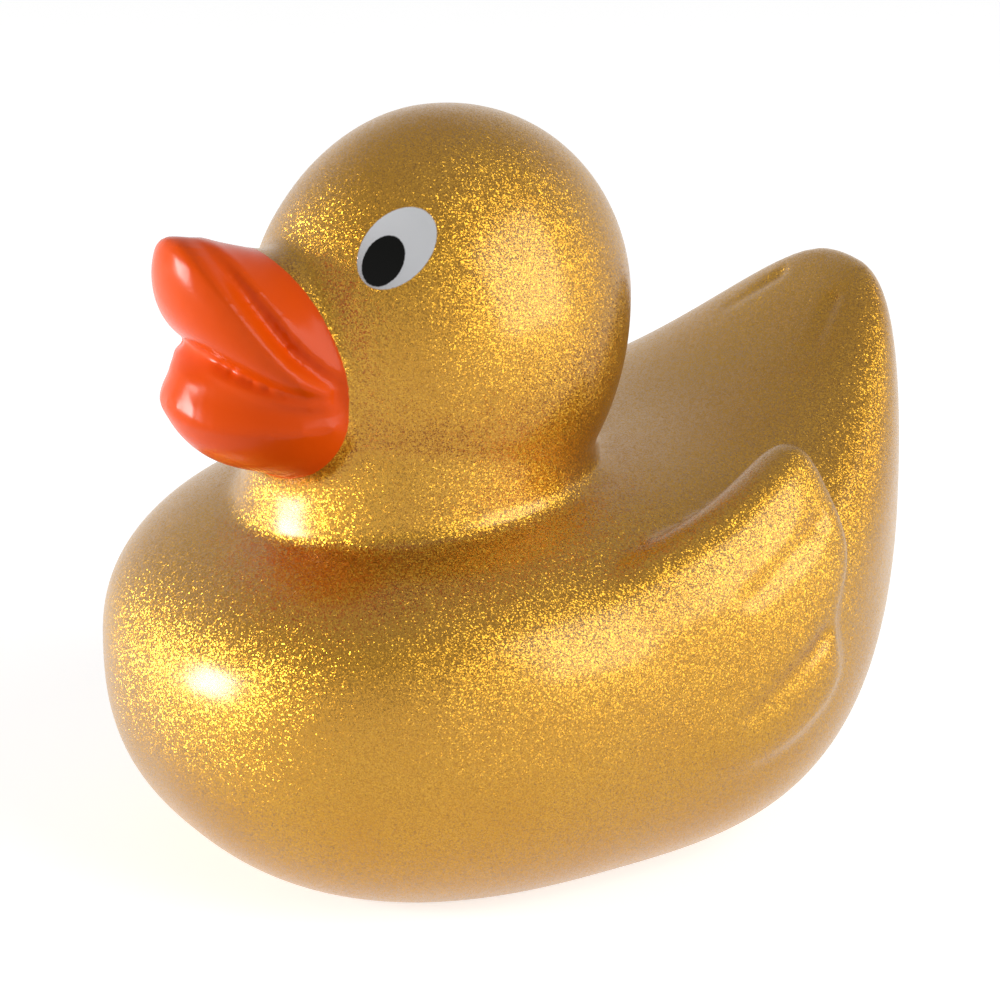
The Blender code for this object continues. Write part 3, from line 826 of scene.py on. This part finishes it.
def studio_floor():
    """A matt white floor: its glow makes it white where it is seen, and its shading keeps the shadow."""
    bm = bmesh.new()
    bmesh.ops.create_grid(bm, x_segments=1, y_segments=1, size=FLOOR_HALF_WIDTH * MM)
    bmesh.ops.translate(bm, verts=bm.verts[:], vec=(0.0, 0.0, -FLOOR_GAP * MM))
    floor = mesh_object("studio_floor", bm)
    bpy.context.scene.collection.objects.link(floor)
    material, tree, shader = new_material("matt white floor")
    shader.inputs["Base Color"].default_value = linear(FLOOR_GREY)
    shader.inputs["Roughness"].default_value = FLOOR_ROUGHNESS
    shader.inputs["Specular IOR Level"].default_value = FLOOR_SHEEN
    shader.inputs["Emission Color"].default_value = linear(ROOM_WHITE)
    glow = add_node(tree, 'ShaderNodeMath', {0: seen_rays(tree), 1: FLOOR_GLOW}, operation='MULTIPLY')
    tree.links.new(glow.outputs[0], shader.inputs["Emission Strength"])
    floor.data.materials.append(material)


def aimed(item, target, turn, rise, distance):
    """Stand the item off from the target at a turn and a rise in degrees, looking back at it."""
    turn, rise = math.radians(turn), math.radians(rise)
    back = Vector((math.sin(turn) * math.cos(rise), -math.cos(turn) * math.cos(rise), math.sin(rise)))
    item.location = (Vector(target) + back * distance) * MM
    item.rotation_euler = (-back).to_track_quat('-Z', 'Y').to_euler()
    bpy.context.scene.collection.objects.link(item)


def soft_light(name, turn, rise, distance, side, power):
    """A square softbox that faces the middle of the duck."""
    lamp = bpy.data.lights.new(name, 'AREA')
    lamp.shape = 'SQUARE'
    lamp.size = side * MM
    lamp.energy = power
    aimed(bpy.data.objects.new(name, lamp), LIGHT_TARGET, turn, rise, distance)


def studio_room():
    """A bright room: white round the sides, greyer above, which the gold mirrors as its deeper tones."""
    world = bpy.data.worlds.new("white studio")
    bpy.context.scene.world = world
    world.use_nodes = True
    tree = world.node_tree
    background = tree.nodes["Background"]
    direction = add_node(tree, 'ShaderNodeTexCoord').outputs["Generated"]
    height = add_node(tree, 'ShaderNodeSeparateXYZ', {0: direction}).outputs["Z"]
    colour = linear(ROOM_WHITE)
    for (lowest, highest), grey in ((CEILING_SPAN, CEILING_GREY), (OVERHEAD_SPAN, OVERHEAD_GREY)):
        share = add_node(tree, 'ShaderNodeMapRange', {
            "Value": height, "From Min": lowest, "From Max": highest}).outputs[0]
        colour = add_node(tree, 'ShaderNodeMix', {
            0: share, COLOUR_A: colour, COLOUR_B: linear(grey)}, data_type='RGBA').outputs[COLOUR_OUT]
    tree.links.new(colour, background.inputs["Color"])
    strength = add_node(tree, 'ShaderNodeMapRange', {
        "Value": seen_rays(tree), "To Min": ROOM_LIGHT, "To Max": 1.0})
    tree.links.new(strength.outputs[0], background.inputs["Strength"])


def studio():
    """The room, its softboxes and the camera."""
    studio_room()
    soft_light("front_softbox", *FRONT_SOFTBOX)
    soft_light("side_softbox", *SIDE_SOFTBOX)
    lens = bpy.data.cameras.new("camera")
    lens.lens = LENS
    lens.sensor_width = SENSOR
    camera = bpy.data.objects.new("camera", lens)
    aimed(camera, CAMERA_TARGET, CAMERA_TURN, CAMERA_RISE, CAMERA_DISTANCE)
    bpy.context.scene.camera = camera
    bpy.context.scene.view_settings.view_transform = 'Standard'


def dress():
    """Put the duck's skin around the frame and paint every piece."""
    skin = rounded_skin()
    bpy.context.scene.collection.objects.link(skin)
    points = points_of(skin)
    mark(skin, "bill_paint", ring_edge(points[:, 1:], BILL_PAINT))
    mark(skin, "eye_white", oval_edge(points, EYE_WHITE))
    mark(skin, "eye_pupil", oval_edge(points, EYE_PUPIL))
    skin.data.materials.clear()
    skin.data.materials.append(duck_paint())
    skin.data.shade_smooth()
    skin.data.set_sharp_from_angle(angle=math.radians(SHARP_ANGLE))
    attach(skin, "root")
    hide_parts("duck_body")
    for node, material in (("whistle_housing", moulded_plastic()), ("whistle_reed", rolled_brass())):
        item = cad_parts[node]
        item.data.materials.clear()
        item.data.materials.append(material)


dress()
studio_floor()
studio()
